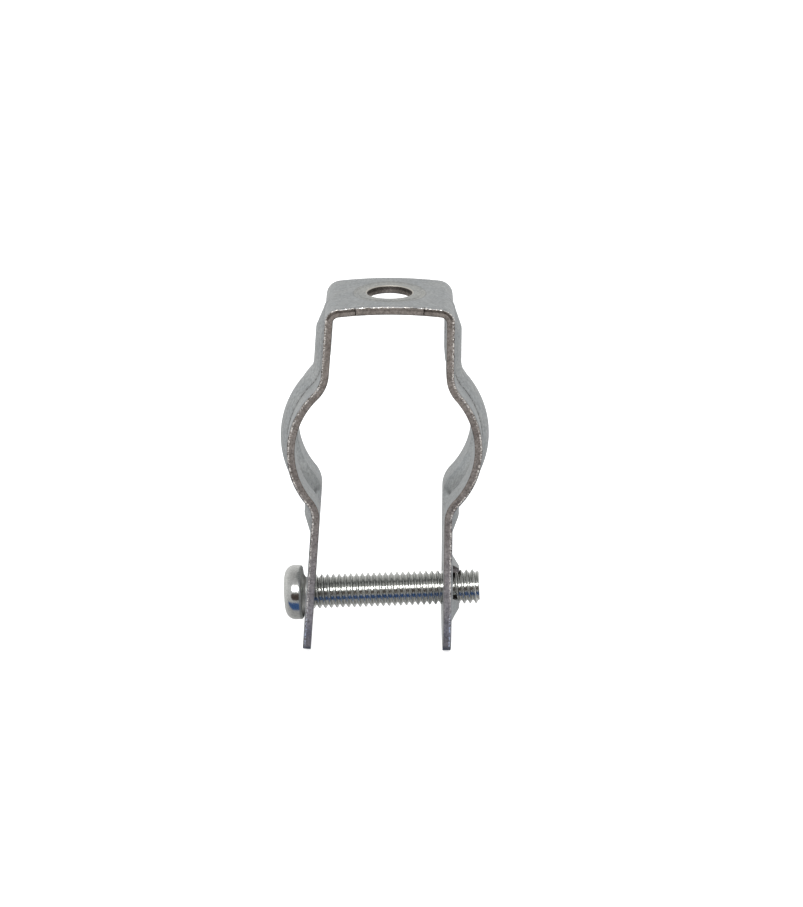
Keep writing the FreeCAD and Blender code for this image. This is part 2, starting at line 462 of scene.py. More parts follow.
class StrapSkin(Skin):
    """The strap as a grid of stations along the strip and columns across it."""

    def __init__(self, left, right):
        super().__init__()
        left_run = side_stations(left)
        crown = crown_stations(left, right)
        right_run = side_stations(right)
        self.stations = left_run[::-1] + crown + right_run
        self.left_range = range(0, len(left_run))
        self.crown_range = range(len(left_run), len(left_run) + len(crown))
        self.right_range = range(len(left_run) + len(crown), len(self.stations))
        half = [column / (HALF_WIDTH - OUTER_EDGE) for column in half_columns()] + [1.0]
        self.columns = [-share for share in half[:0:-1]] + half
        middles = [station.place + station.outward * SHEET / 2 for station in self.stations]
        self.travel = [0.0]
        for before, after in zip(middles, middles[1:]):
            self.travel.append(self.travel[-1] + abs(after - before))
        rows = range(len(self.stations))
        self.outer = [self.face_row(i, SHEET, OUTER_EDGE, BEAD, outer_painted_shade) for i in rows]
        self.inner = [self.face_row(i, 0.0, INNER_EDGE, GROOVE, inner_painted_light) for i in rows]
        self.holes = []

    def put(self, i, across, out, marks=NO_PAINTED_LIGHT):
        station = self.stations[i]
        place = station.place + station.outward * out
        return self.add((place.real, across, place.imag), (self.travel[i], across, out), marks)

    def face_row(self, i, level, edge, arch, marks):
        station = self.stations[i]
        inset = station.inset if level == 0 else -station.inset
        row = []
        for column in self.columns:
            across = column * (station.half_width - station.nick - edge)
            out = level + inset + arch.rise(across, station.sunk)
            row.append(self.put(i, across, out, marks(across, station)))
        return row

    def rim_row(self, i, sign):
        """Points round one cut edge, between the outer face and the inner one."""
        station = self.stations[i]
        side = station.half_width - station.nick
        top = SHEET - station.inset
        bottom = station.inset
        row = []
        for angle in RIM_ANGLES:
            inward, down = quarter_round(OUTER_EDGE, angle)
            row.append((side - inward, top - down))
        for share in WALL_SHARES:
            row.append((side, top - OUTER_EDGE + (bottom + INNER_EDGE - top + OUTER_EDGE) * share))
        for angle in reversed(RIM_ANGLES):
            inward, up = quarter_round(INNER_EDGE, angle)
            row.append((side - inward, bottom + up))
        # Painted shade in the nicks: marks X darkens the cut edge there.
        marks = (1.0, 0.0, 0.0) if station.nick else NO_PAINTED_LIGHT
        return [self.put(i, sign * across, out, marks) for across, out in row]

    def hole_box(self, centre, reach, stations):
        """Rows and columns of the grid that a hole's patch takes up."""
        rows = [i for i in stations if abs(self.stations[i].mark - centre) <= reach]
        limit = reach / (HALF_WIDTH - OUTER_EDGE)
        columns = [j for j, column in enumerate(self.columns) if abs(column) <= limit]
        return rows[0], rows[-1], columns[0], columns[-1]

    def open_hole(self, centre, across, reach, where, stations, sleeve, notch=None):
        """Replace a patch of both faces by rings round a hole, from outer face to inner one.

        The sleeve lists each ring's radius, its height over the inner face and the kind of
        the faces before it.
        """
        top, bottom, first, last = self.hole_box(centre, reach, stations)
        loop = [(top, j) for j in range(first, last)]
        loop += [(i, last) for i in range(top, bottom)]
        loop += [(bottom, j) for j in range(last, first, -1)]
        loop += [(i, first) for i in range(bottom, top, -1)]
        self.holes.append((top, bottom, first, last))
        spots = []
        for i, j in loop:
            y = self.points[self.outer[i][j]][1]
            spots.append((self.stations[i].mark - centre, y - across))
        angles = [math.atan2(y, u) for u, y in spots]
        lines = notch.lines(angles) if notch else [Line(angle) for angle in angles]
        walls = notch.walls(lines) if notch else None
        rings = []
        for radius, out, kind in sleeve:
            ring = []
            for line in lines:
                u, y, level = line.spot(radius, out)
                place = where(centre + u, level)
                travel = self.travel[top] + abs(u + reach)
                point = (place.real, across + y, place.imag)
                ring.append(self.add(point, (travel, across + y, level)))
            rings.append((ring, kind))
        outer_loop = [self.outer[i][j] for i, j in loop]
        inner_loop = [self.inner[i][j] for i, j in loop]
        before = outer_loop
        for share in BLEND_SHARES:
            before = self.blend_ring(before, outer_loop, rings[0][0], share)
        for ring, kind in rings:
            self.bridge(before, ring, kind, True, walls)
            before = ring
        for share in BLEND_SHARES:
            before = self.blend_ring(before, rings[-1][0], inner_loop, share)
        self.bridge(before, inner_loop, PLATE, closed=True)

    def blend_ring(self, before, one, other, share):
        """A ring a share of the way from one ring to another, joined to the one before it."""
        ring = []
        for a, b in zip(one, other):
            point = Vector(self.points[a]).lerp(Vector(self.points[b]), share)
            strip = Vector(self.strip[a]).lerp(Vector(self.strip[b]), share)
            ring.append(self.add(tuple(point), tuple(strip)))
        self.bridge(before, ring, PLATE, closed=True)
        return ring

    def in_hole(self, i, j):
        return any(top <= i < bottom and first <= j < last
                   for top, bottom, first, last in self.holes)

    def close(self):
        """Faces of the grid outside the holes, the cut edges and the leg ends."""
        count = len(self.stations)
        for rows in (self.outer, self.inner):
            for i in range(count - 1):
                row, after = rows[i], rows[i + 1]
                for j in range(len(self.columns) - 1):
                    if not self.in_hole(i, j):
                        self.face((row[j], row[j + 1], after[j + 1], after[j]), PLATE)
        ends = {0: [], count - 1: []}
        for sign, j in ((-1, 0), (1, -1)):
            rims = []
            for i in range(count):
                rims.append([self.outer[i][j]] + self.rim_row(i, sign) + [self.inner[i][j]])
            for i in range(count - 1):
                self.bridge(rims[i], rims[i + 1], EDGE)
            for i in ends:
                self.face(rims[i], EDGE)
        for i in ends:
            self.bridge(self.outer[i], self.inner[i], EDGE)


class Line:
    """One line of points down through a hole."""

    def __init__(self, angle):
        self.angle = angle

    def spot(self, radius, out):
        """Place down the leg and across it, and height over the inner face."""
        return radius * math.cos(self.angle), radius * math.sin(self.angle), out


class LanceLine:
    """A line down through the boss, a share of the way over its lanced or its whole part."""

    def __init__(self, lance, lanced, share):
        self.lance = lance
        self.lanced = lanced
        self.share = share

    def spot(self, radius, out):
        back, lower = self.lance.limits(radius)
        if self.lanced:
            angle = back + (lower - back) * self.share
            out = min(out, SHEET + LANCE_ROOT)
        else:
            angle = lower + (back + 2 * math.pi - lower) * self.share
        lean_down, lean_across = self.lance.lean(out)
        inside = ease(radius, BOSS_BASE_RADIUS, BOSS_TIP_RADIUS)
        down = radius * math.cos(angle) + lean_down * inside
        return down, radius * math.sin(angle) + lean_across * inside, out


class Lance:
    """The cut that takes the boss's upper front away.

    Angles turn about the screw, from straight down the leg.
    """

    def __init__(self, direction):
        self.direction = direction

    def limits(self, radius):
        """Angles of the cut's back face and of its lower face, at a radius."""
        inside = ease(radius, BOSS_BASE_RADIUS, BOSS_TIP_RADIUS)
        face = CUT_FACE_ROOT + (LANCE_FACE - CUT_FACE_ROOT) * inside
        drop = CUT_DROP_ROOT + (CUT_DROP_TIP - CUT_DROP_ROOT) * inside
        return math.asin(face / radius) - math.pi, -math.acos(drop / radius)

    def lean(self, out):
        """How far the screw's axis has moved, down the leg and across it, at this height."""
        rise = out - SHEET
        along = self.direction
        return -rise * along.z / along.x, rise * along.y / along.x

    def lines(self, angles):
        back, lower = self.limits(BOSS_BASE_RADIUS)
        lanced = [back < angle < lower for angle in angles]
        lines = []
        for k, angle in enumerate(angles):
            if lanced[k]:
                start, reach = back, lower - back
            else:
                start, reach = lower, back + 2 * math.pi - lower
            share = ((angle - start) % (2 * math.pi)) / reach
            if lanced[k - 1] != lanced[k] or lanced[(k + 1) % len(lanced)] != lanced[k]:
                share = round(share)
            lines.append(LanceLine(self, lanced[k], share))
        return lines

    def walls(self, lines):
        """Kinds of the faces between a lanced line and a whole one: the back face is rough."""
        kinds = {}
        for k, line in enumerate(lines):
            other = lines[(k + 1) % len(lines)]
            if line.lanced != other.lanced:
                lanced = line if line.lanced else other
                kinds[k] = BREAK if lanced.share == 0 else PLATE
        return kinds


class ScrewAxis:
    """The screw's axis, through the boss, with the head's lower rim against the left leg."""

    def __init__(self, left, right):
        tilt = math.radians(SCREW_TILT)
        yaw = math.radians(SCREW_YAW)
        level = math.cos(tilt)
        self.direction = Vector((level * math.cos(yaw), -level * math.sin(yaw), math.sin(tilt)))
        boss = right.leg_place(SCREW_DEPTH, SHEET)
        self.boss = Vector((boss.real, 0, boss.imag))
        face = left.leg_place(SCREW_DEPTH, SHEET)
        outward = Vector((left.outward.real, 0, left.outward.imag))
        facing = -self.direction.dot(outward)
        to_face = (Vector((face.real, 0, face.imag)) - self.boss).dot(outward)
        dip = (HEAD_RADIUS - HEAD_EDGE) * math.sqrt(1 - facing ** 2)
        self.bearing = self.boss - self.direction * ((to_face + dip + HEAD_CLEARANCE) / facing)
        hole = self.boss - self.direction * ((to_face - SHEET / 2) / facing)
        self.left_depth = left.depth(complex(hole.x, hole.z))
        self.left_across = hole.y


def rounded_hole(radius, outer_round, inner_round):
    """Rings of a plain round hole with softened rims."""
    rings = [(radius + apron, SHEET, PLATE) for apron in (1.2, 0.6, outer_round)]
    for angle in RIM_ANGLES:
        inward, down = quarter_round(outer_round, angle)
        rings.append((radius + inward, SHEET - down, BREAK))
    for share in (0.33, 0.67):
        rings.append((radius, SHEET * (1 - share), BREAK))
    for angle in (90, 45, 0):
        inward, up = quarter_round(inner_round, angle)
        rings.append((radius + inward, up, BREAK))
    rings.append((radius + 0.7, 0.0, PLATE))
    return rings


def coined_hole():
    """Rings of the top hole, with the coined ring round it."""
    outer, inner = RING_RADIUS, RING_RADIUS - RING_WIDTH
    floor = SHEET - RING_DEPTH
    ring = [(outer + 0.25, SHEET), (outer, SHEET), (outer - 0.08, floor + 0.02),
            (outer - 0.16, floor), (inner + 0.16, floor), (inner + 0.08, floor + 0.02),
            (inner, SHEET), (inner - 0.2, SHEET)]
    hole = rounded_hole(HOLE_RADIUS, TOP_HOLE_ROUND, HOLE_ROUND)
    return [(*row, PLATE) for row in ring] + [row for row in hole if row[0] < inner - 0.25]


def boss_sleeve():
    """Rings of the boss, from the leg's outer face over its tip and through it."""
    slope = (BOSS_BASE_RADIUS - BOSS_TIP_RADIUS) / BOSS_HEIGHT
    bore = SCREW_RADIUS + THREAD_CLEARANCE
    tip = SHEET + BOSS_HEIGHT
    rings = [(BOSS_BASE_RADIUS + 1.1, SHEET, PLATE)]
    for share in (-0.32, -0.2, -0.1, 0.0, 0.1, 0.2, 0.32, 0.45, 0.58, 0.7, 0.82, 0.95):
        rise = BOSS_HEIGHT * share
        soft = (rise + math.hypot(rise, BOSS_FOOT * (1 - max(share, 0.0)))) / 2
        rings.append((BOSS_BASE_RADIUS - slope * rise, SHEET + soft, PLATE))
    rings += [(BOSS_TIP_RADIUS, tip - 0.02, PLATE), (BOSS_TIP_RADIUS - 0.12, tip, PLATE),
              (bore + 0.1, tip, BREAK), (bore, tip - 0.1, BREAK)]
    throat = (BOSS_MOUTH_RADIUS - bore) / slope
    rings += [(bore, tip + (throat - tip) * share, BREAK) for share in (0.35, 0.7, 1.0)]
    for share in (0.5, 0.95):
        rings.append((bore + (BOSS_MOUTH_RADIUS - bore) * share, throat * (1 - share), PLATE))
    rings += [(BOSS_MOUTH_RADIUS + 0.06, 0.0, PLATE), (BOSS_MOUTH_RADIUS + 0.75, 0.0, PLATE)]
    return rings


def strap_object(left, right, axis, materials):
    skin = StrapSkin(left, right)
    skin.open_hole(0.0, 0.0, TOP_PATCH, crown_place, skin.crown_range, coined_hole())
    left_hole = rounded_hole(SCREW_RADIUS + HOLE_CLEARANCE, HOLE_ROUND, HOLE_ROUND)
    skin.open_hole(axis.left_depth, axis.left_across, HOLE_PATCH, left.leg_place,
                   skin.left_range, left_hole)
    skin.open_hole(SCREW_DEPTH, 0.0, BOSS_PATCH, right.leg_place, skin.right_range,
                   boss_sleeve(), Lance(axis.direction))
    skin.close()
    return skin.build("strap_skin", materials, STRAP_SHARP)


def thread_radius(along):
    """Radius of the thread at a distance along one pitch: root, flank, crest and flank."""
    share = (along / THREAD_PITCH) % 1.0
    rise = min(share, 1 - share) * 2
    flank = min(1.0, max(0.0, (rise - FLANK_START) / FLANK_WIDTH))
    soft = flank * flank * (3 - 2 * flank) * FLANK_SOFTNESS + flank * (1 - FLANK_SOFTNESS)
    return THREAD_ROOT + (SCREW_RADIUS - THREAD_ROOT) * soft


def head_profile():
    """Distance and radius of points round the head, from its end face to its bearing face."""
    profile = []
    round_steps, shoulder_steps = 12, 10
    for step in range(round_steps + 1):
        turn = math.radians(90 * step / round_steps)
        profile.append((-HEAD_HEIGHT + HEAD_ROUND * (1 - math.cos(turn)),
                        HEAD_RADIUS - HEAD_ROUND * (1 - math.sin(turn))))
    for step in range(1, shoulder_steps + 1):
        turn = math.radians(90 * step / shoulder_steps)
        profile.append((-HEAD_SHOULDER * (1 - math.sin(turn)),
                        HEAD_RADIUS - HEAD_EDGE * (1 - math.cos(turn))))
    return profile


def screw_object(axis, materials):
    """Head, neck and helical thread, turned about the screw's axis in one skin."""
    segments, per_pitch = SCREW_SEGMENTS, PITCH_STEPS
    along = axis.direction.normalized()
    side = along.cross(Vector((0, 0, 1))).normalized()
    upward = side.cross(along)
    skin = Skin()

    def put(distance, radius, turn):
        radial = upward * math.cos(turn) + side * math.sin(turn)
        point = axis.bearing + along * distance + radial * radius
        return skin.add(tuple(point), (distance, radius, turn))

    def ring(distance, radius):
        return [put(distance, radius, 2 * math.pi * c / segments) for c in range(segments)]

    start, finish = NECK_LENGTH, SCREW_LENGTH
    profile = head_profile()
    profile += [(0.0, FLARE_RADIUS + 0.05), (0.03, FLARE_RADIUS),
                (FLARE_LENGTH - 0.05, NECK_RADIUS + 0.06), (FLARE_LENGTH + 0.05, NECK_RADIUS),
                (start, NECK_RADIUS)]
    rows = [ring(*spot) for spot in profile]
    for one, other in zip(rows, rows[1:]):
        skin.bridge(one, other, closed=True)

    step = THREAD_PITCH / per_pitch
    count = int((finish - start) / step) + 2 * per_pitch
    grid = []
    for m in range(-per_pitch, count):
        row = []
        for c in range(segments):
            turn = 2 * math.pi * c / segments
            distance = min(max(start + m * step + THREAD_PITCH * c / segments, start), finish)
            lead = distance - start - THREAD_PITCH * c / segments
            ramp = NECK_RADIUS + (distance - start) * THREAD_RAMP
            tip = SCREW_RADIUS - TIP_CHAMFER + (finish - distance)
            run_in = min(1.0, (distance - start) / THREAD_RUN_IN)
            root = NECK_RADIUS - (NECK_RADIUS - THREAD_ROOT) * run_in
            row.append(put(distance, min(max(thread_radius(lead), root), ramp, tip), turn))
        grid.append(row)
    skin.bridge(rows[-1], grid[0], closed=True)
    for m in range(len(grid) - 1):
        for c in range(segments):
            if c < segments - 1:
                far, near = grid[m + 1][c + 1], grid[m][c + 1]
            else:
                far = grid[min(m + 1 + per_pitch, len(grid) - 1)][0]
                near = grid[min(m + per_pitch, len(grid) - 1)][0]
            skin.face((grid[m][c], grid[m + 1][c], far, near))
    end = [ring(finish, radius) for radius in TIP_RINGS]
    skin.bridge(grid[-1], end[0], closed=True)
    for one, other in zip(end, end[1:]):
        skin.bridge(one, other, closed=True)
    skin.face(end[-1])
    skin.bridge(head_recess(skin, put, ring), rows[0], closed=True)
    return skin.build("screw_skin", materials, SCREW_SHARP)


def head_recess(skin, put, round_ring):
    """Cross recess in the head's end face. Returns the ring round it."""
    def cross_radius(turn, half_span, half_arm):
        """Distance from the middle to the cross's outline in one direction."""
        folded = turn % (math.pi / 2)
        folded = min(folded, math.pi / 2 - folded)
        inner = math.atan2(half_arm, half_span)
        return half_span / math.cos(folded) if folded < inner else half_arm / math.sin(folded)

    def ring(distance, half_span, half_arm):
        turns = [2 * math.pi * c / SCREW_SEGMENTS for c in range(SCREW_SEGMENTS)]
        return [put(distance, cross_radius(turn, half_span, half_arm), turn) for turn in turns]

    face = -HEAD_HEIGHT
    half_span, half_arm = RECESS_SPAN / 2, RECESS_ARM / 2
    rings = [round_ring(face, HEAD_RADIUS - HEAD_ROUND - RECESS_RIM)]
    rings.append(ring(face, half_span + RECESS_RIM, half_arm + RECESS_RIM))
    rings.append(ring(face + RECESS_LIP, half_span, half_arm))
    for share in (0.5, 1.0):
        shrink = 1 - (1 - RECESS_TAPER) * share
        rings.append(ring(face + RECESS_DEPTH * share, half_span * shrink, half_arm * shrink))
    for one, other in zip(rings, rings[1:]):
        skin.bridge(one, other, closed=True)
    skin.face(rings[-1])
    return rings[0]


class Nodes:
    """Short way to write the nodes of a material or of the surroundings."""

    def __init__(self, tree):
        self.tree = tree

    def node(self, kind, **settings):
        node = self.tree.nodes.new(kind)
        for key, value in settings.items():
            setattr(node, key, value)
        return node

    def link(self, source, target):
        self.tree.links.new(source, target)

    def attribute(self, name, output):
        return self.node("ShaderNodeAttribute", attribute_name=name).outputs[output]

    def coordinates(self, output):
        return self.node("ShaderNodeTexCoord").outputs[output]

    def stretch(self, vector, scale, shift=(0, 0, 0)):
        mapping = self.node("ShaderNodeMapping")
        mapping.inputs["Scale"].default_value = scale
        mapping.inputs["Location"].default_value = shift
        self.link(vector, mapping.inputs["Vector"])
        return mapping.outputs["Vector"]

    def split(self, vector):
        node = self.node("ShaderNodeSeparateXYZ")
        self.link(vector, node.inputs["Vector"])
        return node.outputs

    def length(self, vector):
        node = self.node("ShaderNodeVectorMath", operation="LENGTH")
        self.link(vector, node.inputs[0])
        return node.outputs["Value"]

    def spread(self, value, low, high):
        """The value as a share of the way from low to high."""
        node = self.node("ShaderNodeMapRange")
        node.inputs["From Min"].default_value = low
        node.inputs["From Max"].default_value = high
        self.link(value, node.inputs["Value"])
        return node.outputs["Result"]

    def times(self, one, other):
        node = self.node("ShaderNodeMath", operation="MULTIPLY")
        self.link(one, node.inputs[0])
        self.link(other, node.inputs[1])
        return node.outputs["Value"]

    def noise(self, vector, scale, detail=3.0, rough=0.55):
        node = self.node("ShaderNodeTexNoise")
        node.inputs["Scale"].default_value = scale
        node.inputs["Detail"].default_value = detail
        node.inputs["Roughness"].default_value = rough
        self.link(vector, node.inputs["Vector"])
        return node.outputs["Fac"]

    def ramp(self, value, *stops):
        """A colour, or a grey, for the value, from stops of position and tone."""
        node = self.node("ShaderNodeValToRGB")
        ramp = node.color_ramp
        while len(ramp.elements) < len(stops):
            ramp.elements.new(0.5)
        for element, (position, colour) in zip(ramp.elements, stops):
            element.position = position
            red, green, blue = colour if isinstance(colour, tuple) else (colour,) * 3
            element.color = (red, green, blue, 1.0)
        self.link(value, node.inputs["Fac"])
        return node.outputs["Color"]

    def mix(self, share, one, other, mode="MIX"):
        node = self.node("ShaderNodeMix", data_type="RGBA", blend_type=mode)
        self.fill(node.inputs["Factor"], share)
        self.fill(node.inputs["A"], one)
        self.fill(node.inputs["B"], other)
        return node.outputs["Result"]

    def fill(self, socket, value):
        """Link the socket to another one, or set it to a value."""
        if isinstance(value, bpy.types.NodeSocket):
            self.link(value, socket)
        elif isinstance(value, tuple):
            socket.default_value = (*value, 1.0)
        else:
            socket.default_value = value

    def bump(self, height, distance, strength, before=None):
        node = self.node("ShaderNodeBump")
        node.inputs["Strength"].default_value = strength
        node.inputs["Distance"].default_value = distance * MM
        self.link(height, node.inputs["Height"])
        if before is not None:
            self.link(before, node.inputs["Normal"])
        return node.outputs["Normal"]


class Metal(Nodes):
    """A metal material."""

    def __init__(self, name, metallic):
        self.material = bpy.data.materials.new(name)
        self.material.use_nodes = True
        super().__init__(self.material.node_tree)
        self.surface = self.tree.nodes["Principled BSDF"]
        self.surface.inputs["Metallic"].default_value = metallic

    def paint(self, colour, roughness, normal):
        self.link(colour, self.surface.inputs["Base Color"])
        self.link(roughness, self.surface.inputs["Roughness"])
        self.link(normal, self.surface.inputs["Normal"])
        return self.material


def plate_material():
    """Satin zinc with grain and faint streaks and rings at the hole, painted shade in dark specks
    along the creases and down the groove, and painted light over the groove.
    """
    dull, pale = (0.378, 0.397, 0.405), (0.468, 0.479, 0.474)
    fleck, crease_shade_and_dark_band = (0.15, 0.145, 0.14), (0.075, 0.07, 0.065)
    burnish, inner_line, outer_line = (1.04, 1.02, 0.98), (0.85, 0.84, 0.82), (0.80, 0.79, 0.78)
    metal = Metal("zinc_plate", 0.88)
    flat = metal.coordinates("Object")
    strip = metal.attribute("strip", "Vector")
    clouds = metal.noise(flat, 260, 4.0)
    grain = metal.noise(flat, 2400, 3.0)
    streaks = metal.noise(metal.stretch(strip, (70, 3600, 70)), 1.0)
    colour = metal.ramp(clouds, (0.3, dull), (0.7, pale))
    colour = metal.mix(1.0, colour, metal.ramp(grain, (0.32, 0.80), (0.66, 1.13)), "MULTIPLY")
    colour = metal.mix(1.0, colour, metal.ramp(streaks, (0.3, 0.93), (0.7, 1.05)), "MULTIPLY")
    flecks = metal.noise(flat, 4200, 1.0)
    colour = metal.mix(metal.ramp(flecks, (0.70, 0.0), (0.76, 0.7)), colour, fleck)
    reach = metal.spread(metal.length(metal.stretch(flat, (1, 1, 0))), 3 * MM, 7 * MM)
    rings = metal.ramp(reach, (0.52, burnish), (0.55, inner_line), (0.58, burnish),
                       (0.70, burnish), (0.74, outer_line), (0.78, 1.0))
    colour = metal.mix(1.0, colour, rings, "MULTIPLY")
    specks = metal.noise(metal.stretch(strip, (2600, 5000, 0)), 1.0, 2.0)
    marks = metal.split(metal.attribute("marks", "Vector"))
    # Painted crease shade: dark specks along the bead's foot, where marks X is set.
    crease = metal.times(marks["X"], metal.ramp(specks, (0.44, 0.95), (0.60, 0.15)))
    colour = metal.mix(crease, colour, crease_shade_and_dark_band)
    # Painted light: the groove is lightened where marks Z is set.
    colour = metal.mix(1.0, colour, metal.ramp(marks["Z"], (0.0, 1.0), (1.0, 1.22)), "MULTIPLY")
    # Painted shade: darker down the groove's far slope, in a spot at its lower end and on the far
    # rim, where marks Y is set.
    colour = metal.mix(1.0, colour, metal.ramp(marks["Y"], (0.0, 1.0), (1.0, 0.40)), "MULTIPLY")
    roughness = metal.ramp(clouds, (0.3, 0.47), (0.7, 0.57))
    normal = metal.bump(streaks, 0.015, 0.25)
    normal = metal.bump(grain, 0.025, 0.35, normal)
    return metal.paint(colour, roughness, normal)


class Break(Metal):
    """Rough brown metal where the sheet was cut, painted lighter and bluer towards the leg ends as
    a painted blue reflection.
    """

    def __init__(self, name):
        super().__init__(name, 0.9)
        self.flat = self.coordinates("Object")
        self.strip = self.attribute("strip", "Vector")
        self.height = self.split(self.flat)["Z"]
        self.out = self.split(self.strip)["Z"]
        self.patches = self.noise(self.flat, 480)
        grain = self.noise(self.flat, 3000, 3.0, 0.7)
        colour = self.ramp(self.patches, (0.3, (0.27, 0.236, 0.21)), (0.7, (0.345, 0.308, 0.279)))
        colour = self.mix(1.0, colour, self.ramp(grain, (0.36, 0.66), (0.64, 1.34)), "MULTIPLY")
        # Painted reflection: lighter and bluer lower down the legs.
        low = self.ramp(self.spread(self.height, -36 * MM, -62 * MM), (0.0, 1.0),
                        (0.35, (1.30, 1.33, 1.40)), (0.7, (1.18, 1.24, 1.36)),
                        (1.0, (0.85, 0.92, 1.14)))
        self.colour = self.mix(1.0, colour, low, "MULTIPLY")
        self.roughness = self.ramp(self.patches, (0.3, 0.48), (0.7, 0.62))
        self.normal = self.bump(grain, 0.05, 0.6)


def torn_material():
    """Walls of the holes: painted shade under a thin painted highlight at the rim. Higher up, on
    the boss, plain brown.
    """
    metal = Break("torn_edge")
    level = metal.spread(metal.out, 0.0, 4 * SHEET * MM)
    # Painted shade on the hole walls, darkest just under the rim.
    shade = metal.ramp(level, (0.0, 1.0), (0.09, 0.9), (0.14, 0.40), (0.225, 0.30), (0.24, 1.0))
    colour = metal.mix(1.0, metal.colour, shade, "MULTIPLY")
    # Painted highlight along the hole's upper rim.
    rim = metal.ramp(level, (0.220, 0.0), (0.232, 1.0), (0.252, 1.0), (0.262, 0.0))
    colour = metal.mix(rim, colour, (0.60, 0.58, 0.53))
    return metal.paint(colour, metal.roughness, metal.normal)


def sheared_material():
    """Cut edges: rolled over at the outer face, painted glints under it, and leg ends painted dark
    navy as a painted blue reflection.
    """
    crease_shade_and_dark_band, chip, nick_shade = (0.045, 0.036, 0.03), (0.07, 0.06, 0.05), (0.04, 0.034, 0.03)
    warm_glint, cool_glint, painted_blue_reflection = (1.0, 0.96, 0.90), (0.66, 0.76, 1.0), (0.045, 0.06, 0.11)
    metal = Break("sheared_edge")
    depth = metal.spread(metal.out, 0.0, SHEET * MM)
    chips = metal.noise(metal.stretch(metal.strip, (1500, 900, 2600), (0.7, 0.2, 0.4)), 1.0, 2.0)
    specks = metal.noise(metal.stretch(metal.strip, (5000, 1500, 3800)), 1.0, 1.0)
    top = metal.spread(metal.height, -2.6 * MM, -2.0 * MM)
    side = metal.length(metal.stretch(metal.flat, (1, 0, 0)))
    third = metal.ramp(metal.spread(side, 5 * MM, 6 * MM), (0.5, 0.45), (0.6, 1.0))
    plate = metal.ramp(metal.patches, (0.3, (0.37, 0.385, 0.395)), (0.7, (0.43, 0.44, 0.445)))
    colour = metal.mix(metal.ramp(depth, (0.84, 0.0), (0.92, 1.0)), metal.colour, plate)
    band = metal.ramp(depth, (0.48, 0.0), (0.58, 0.95), (0.80, 0.95), (0.87, 0.0))
    under = metal.times(metal.times(top, third), band)
    under = metal.times(under, metal.ramp(chips, (0.3, 1.0), (0.7, 0.5)))
    colour = metal.mix(under, colour, crease_shade_and_dark_band)
    leg_line = metal.ramp(depth, (0.62, 0.0), (0.72, 1.0), (0.80, 1.0), (0.88, 0.0))
    top_line = metal.ramp(depth, (0.80, 0.0), (0.86, 1.0), (0.95, 1.0), (0.99, 0.0))
    # Painted glints: bright dots along lines under the rim.
    painted_glints = metal.ramp(specks, (0.51, 0.0), (0.55, 1.0))
    painted_glints = metal.times(metal.mix(top, leg_line, top_line), painted_glints)
    # Lower down, the glints turn blue, a painted blue reflection.
    low = metal.spread(metal.height, -52 * MM, -58 * MM)
    colour = metal.mix(painted_glints, colour, metal.mix(low, warm_glint, cool_glint))
    margin = metal.ramp(depth, (0.80, 0.0), (0.84, 1.0), (0.90, 1.0), (0.94, 0.0))
    margin = metal.times(margin, metal.ramp(chips, (0.38, 0.95), (0.46, 0.0)))
    colour = metal.mix(margin, colour, chip)
    colour = metal.mix(1.0, colour, metal.ramp(depth, (0.02, 0.62), (0.10, 1.0)), "MULTIPLY")
    # Painted blue reflection: the leg ends turn dark navy.
    colour = metal.mix(metal.spread(metal.height, -60.8 * MM, -61.7 * MM), colour, painted_blue_reflection)
    # Painted shade in the nicks.
    nick = metal.split(metal.attribute("marks", "Vector"))["X"]
    colour = metal.mix(metal.ramp(nick, (0.2, 0.0), (0.8, 0.85)), colour, nick_shade)
    roughness = metal.mix(painted_glints, metal.roughness, (0.24, 0.24, 0.24))
    # The painted glints are made less metallic, so they show white.
    metal.link(metal.ramp(painted_glints, (0.0, 0.9), (1.0, 0.45)), metal.surface.inputs["Metallic"])
    return metal.paint(colour, roughness, metal.bump(painted_glints, 0.10, 0.7, metal.normal))


def screw_material():
    """Bright zinc, smoother than the strap."""
    metal = Metal("bright_zinc", 1.0)
    flat = metal.coordinates("Object")
    clouds = metal.noise(flat, 420)
    grain = metal.noise(flat, 3200)
    colour = metal.ramp(clouds, (0.3, (0.54, 0.545, 0.525)), (0.7, (0.62, 0.625, 0.605)))
    colour = metal.mix(1.0, colour, metal.ramp(grain, (0.35, 0.88), (0.65, 1.08)), "MULTIPLY")
    along = metal.spread(metal.split(metal.attribute("strip", "Vector"))["X"], -2 * MM, 2 * MM)
    neck = metal.ramp(along, (0.46, 0.0), (0.50, 1.0), (0.70, 1.0), (0.74, 0.0))
    roughness = metal.mix(neck, metal.ramp(clouds, (0.3, 0.15), (0.7, 0.21)), (0.5, 0.5, 0.5))
    return metal.paint(colour, roughness, metal.bump(grain, 0.02, 0.2))


def add_object(name, data):
    thing = bpy.data.objects.new(name, data)
    bpy.context.scene.collection.objects.link(thing)
    return thing


def add_floor():
    """A pale, lit floor just under the legs. Reflections show the surroundings instead of it."""
    mesh = bpy.data.meshes.new("floor")
    size = 4.0
    height = cad_low.z - 0.1 * MM
    corners = [(-size, -size), (size, -size), (size, size), (-size, size)]
    mesh.from_pydata([(*corner, height) for corner in corners], [], [(0, 1, 2, 3)])
    paint = bpy.data.materials.new("floor_paint")
    paint.use_nodes = True
    surface = paint.node_tree.nodes["Principled BSDF"]
    surface.inputs["Base Color"].default_value = (0.85, 0.85, 0.85, 1)
    surface.inputs["Emission Color"].default_value = (1, 1, 1, 1)
    surface.inputs["Emission Strength"].default_value = 0.75
    surface.inputs["Roughness"].default_value = 0.9
    surface.inputs["Specular IOR Level"].default_value = 0.0
    mesh.materials.append(paint)
    floor = add_object("floor", mesh)
    floor.visible_glossy = False
    floor.visible_diffuse = False
    floor.visible_shadow = False


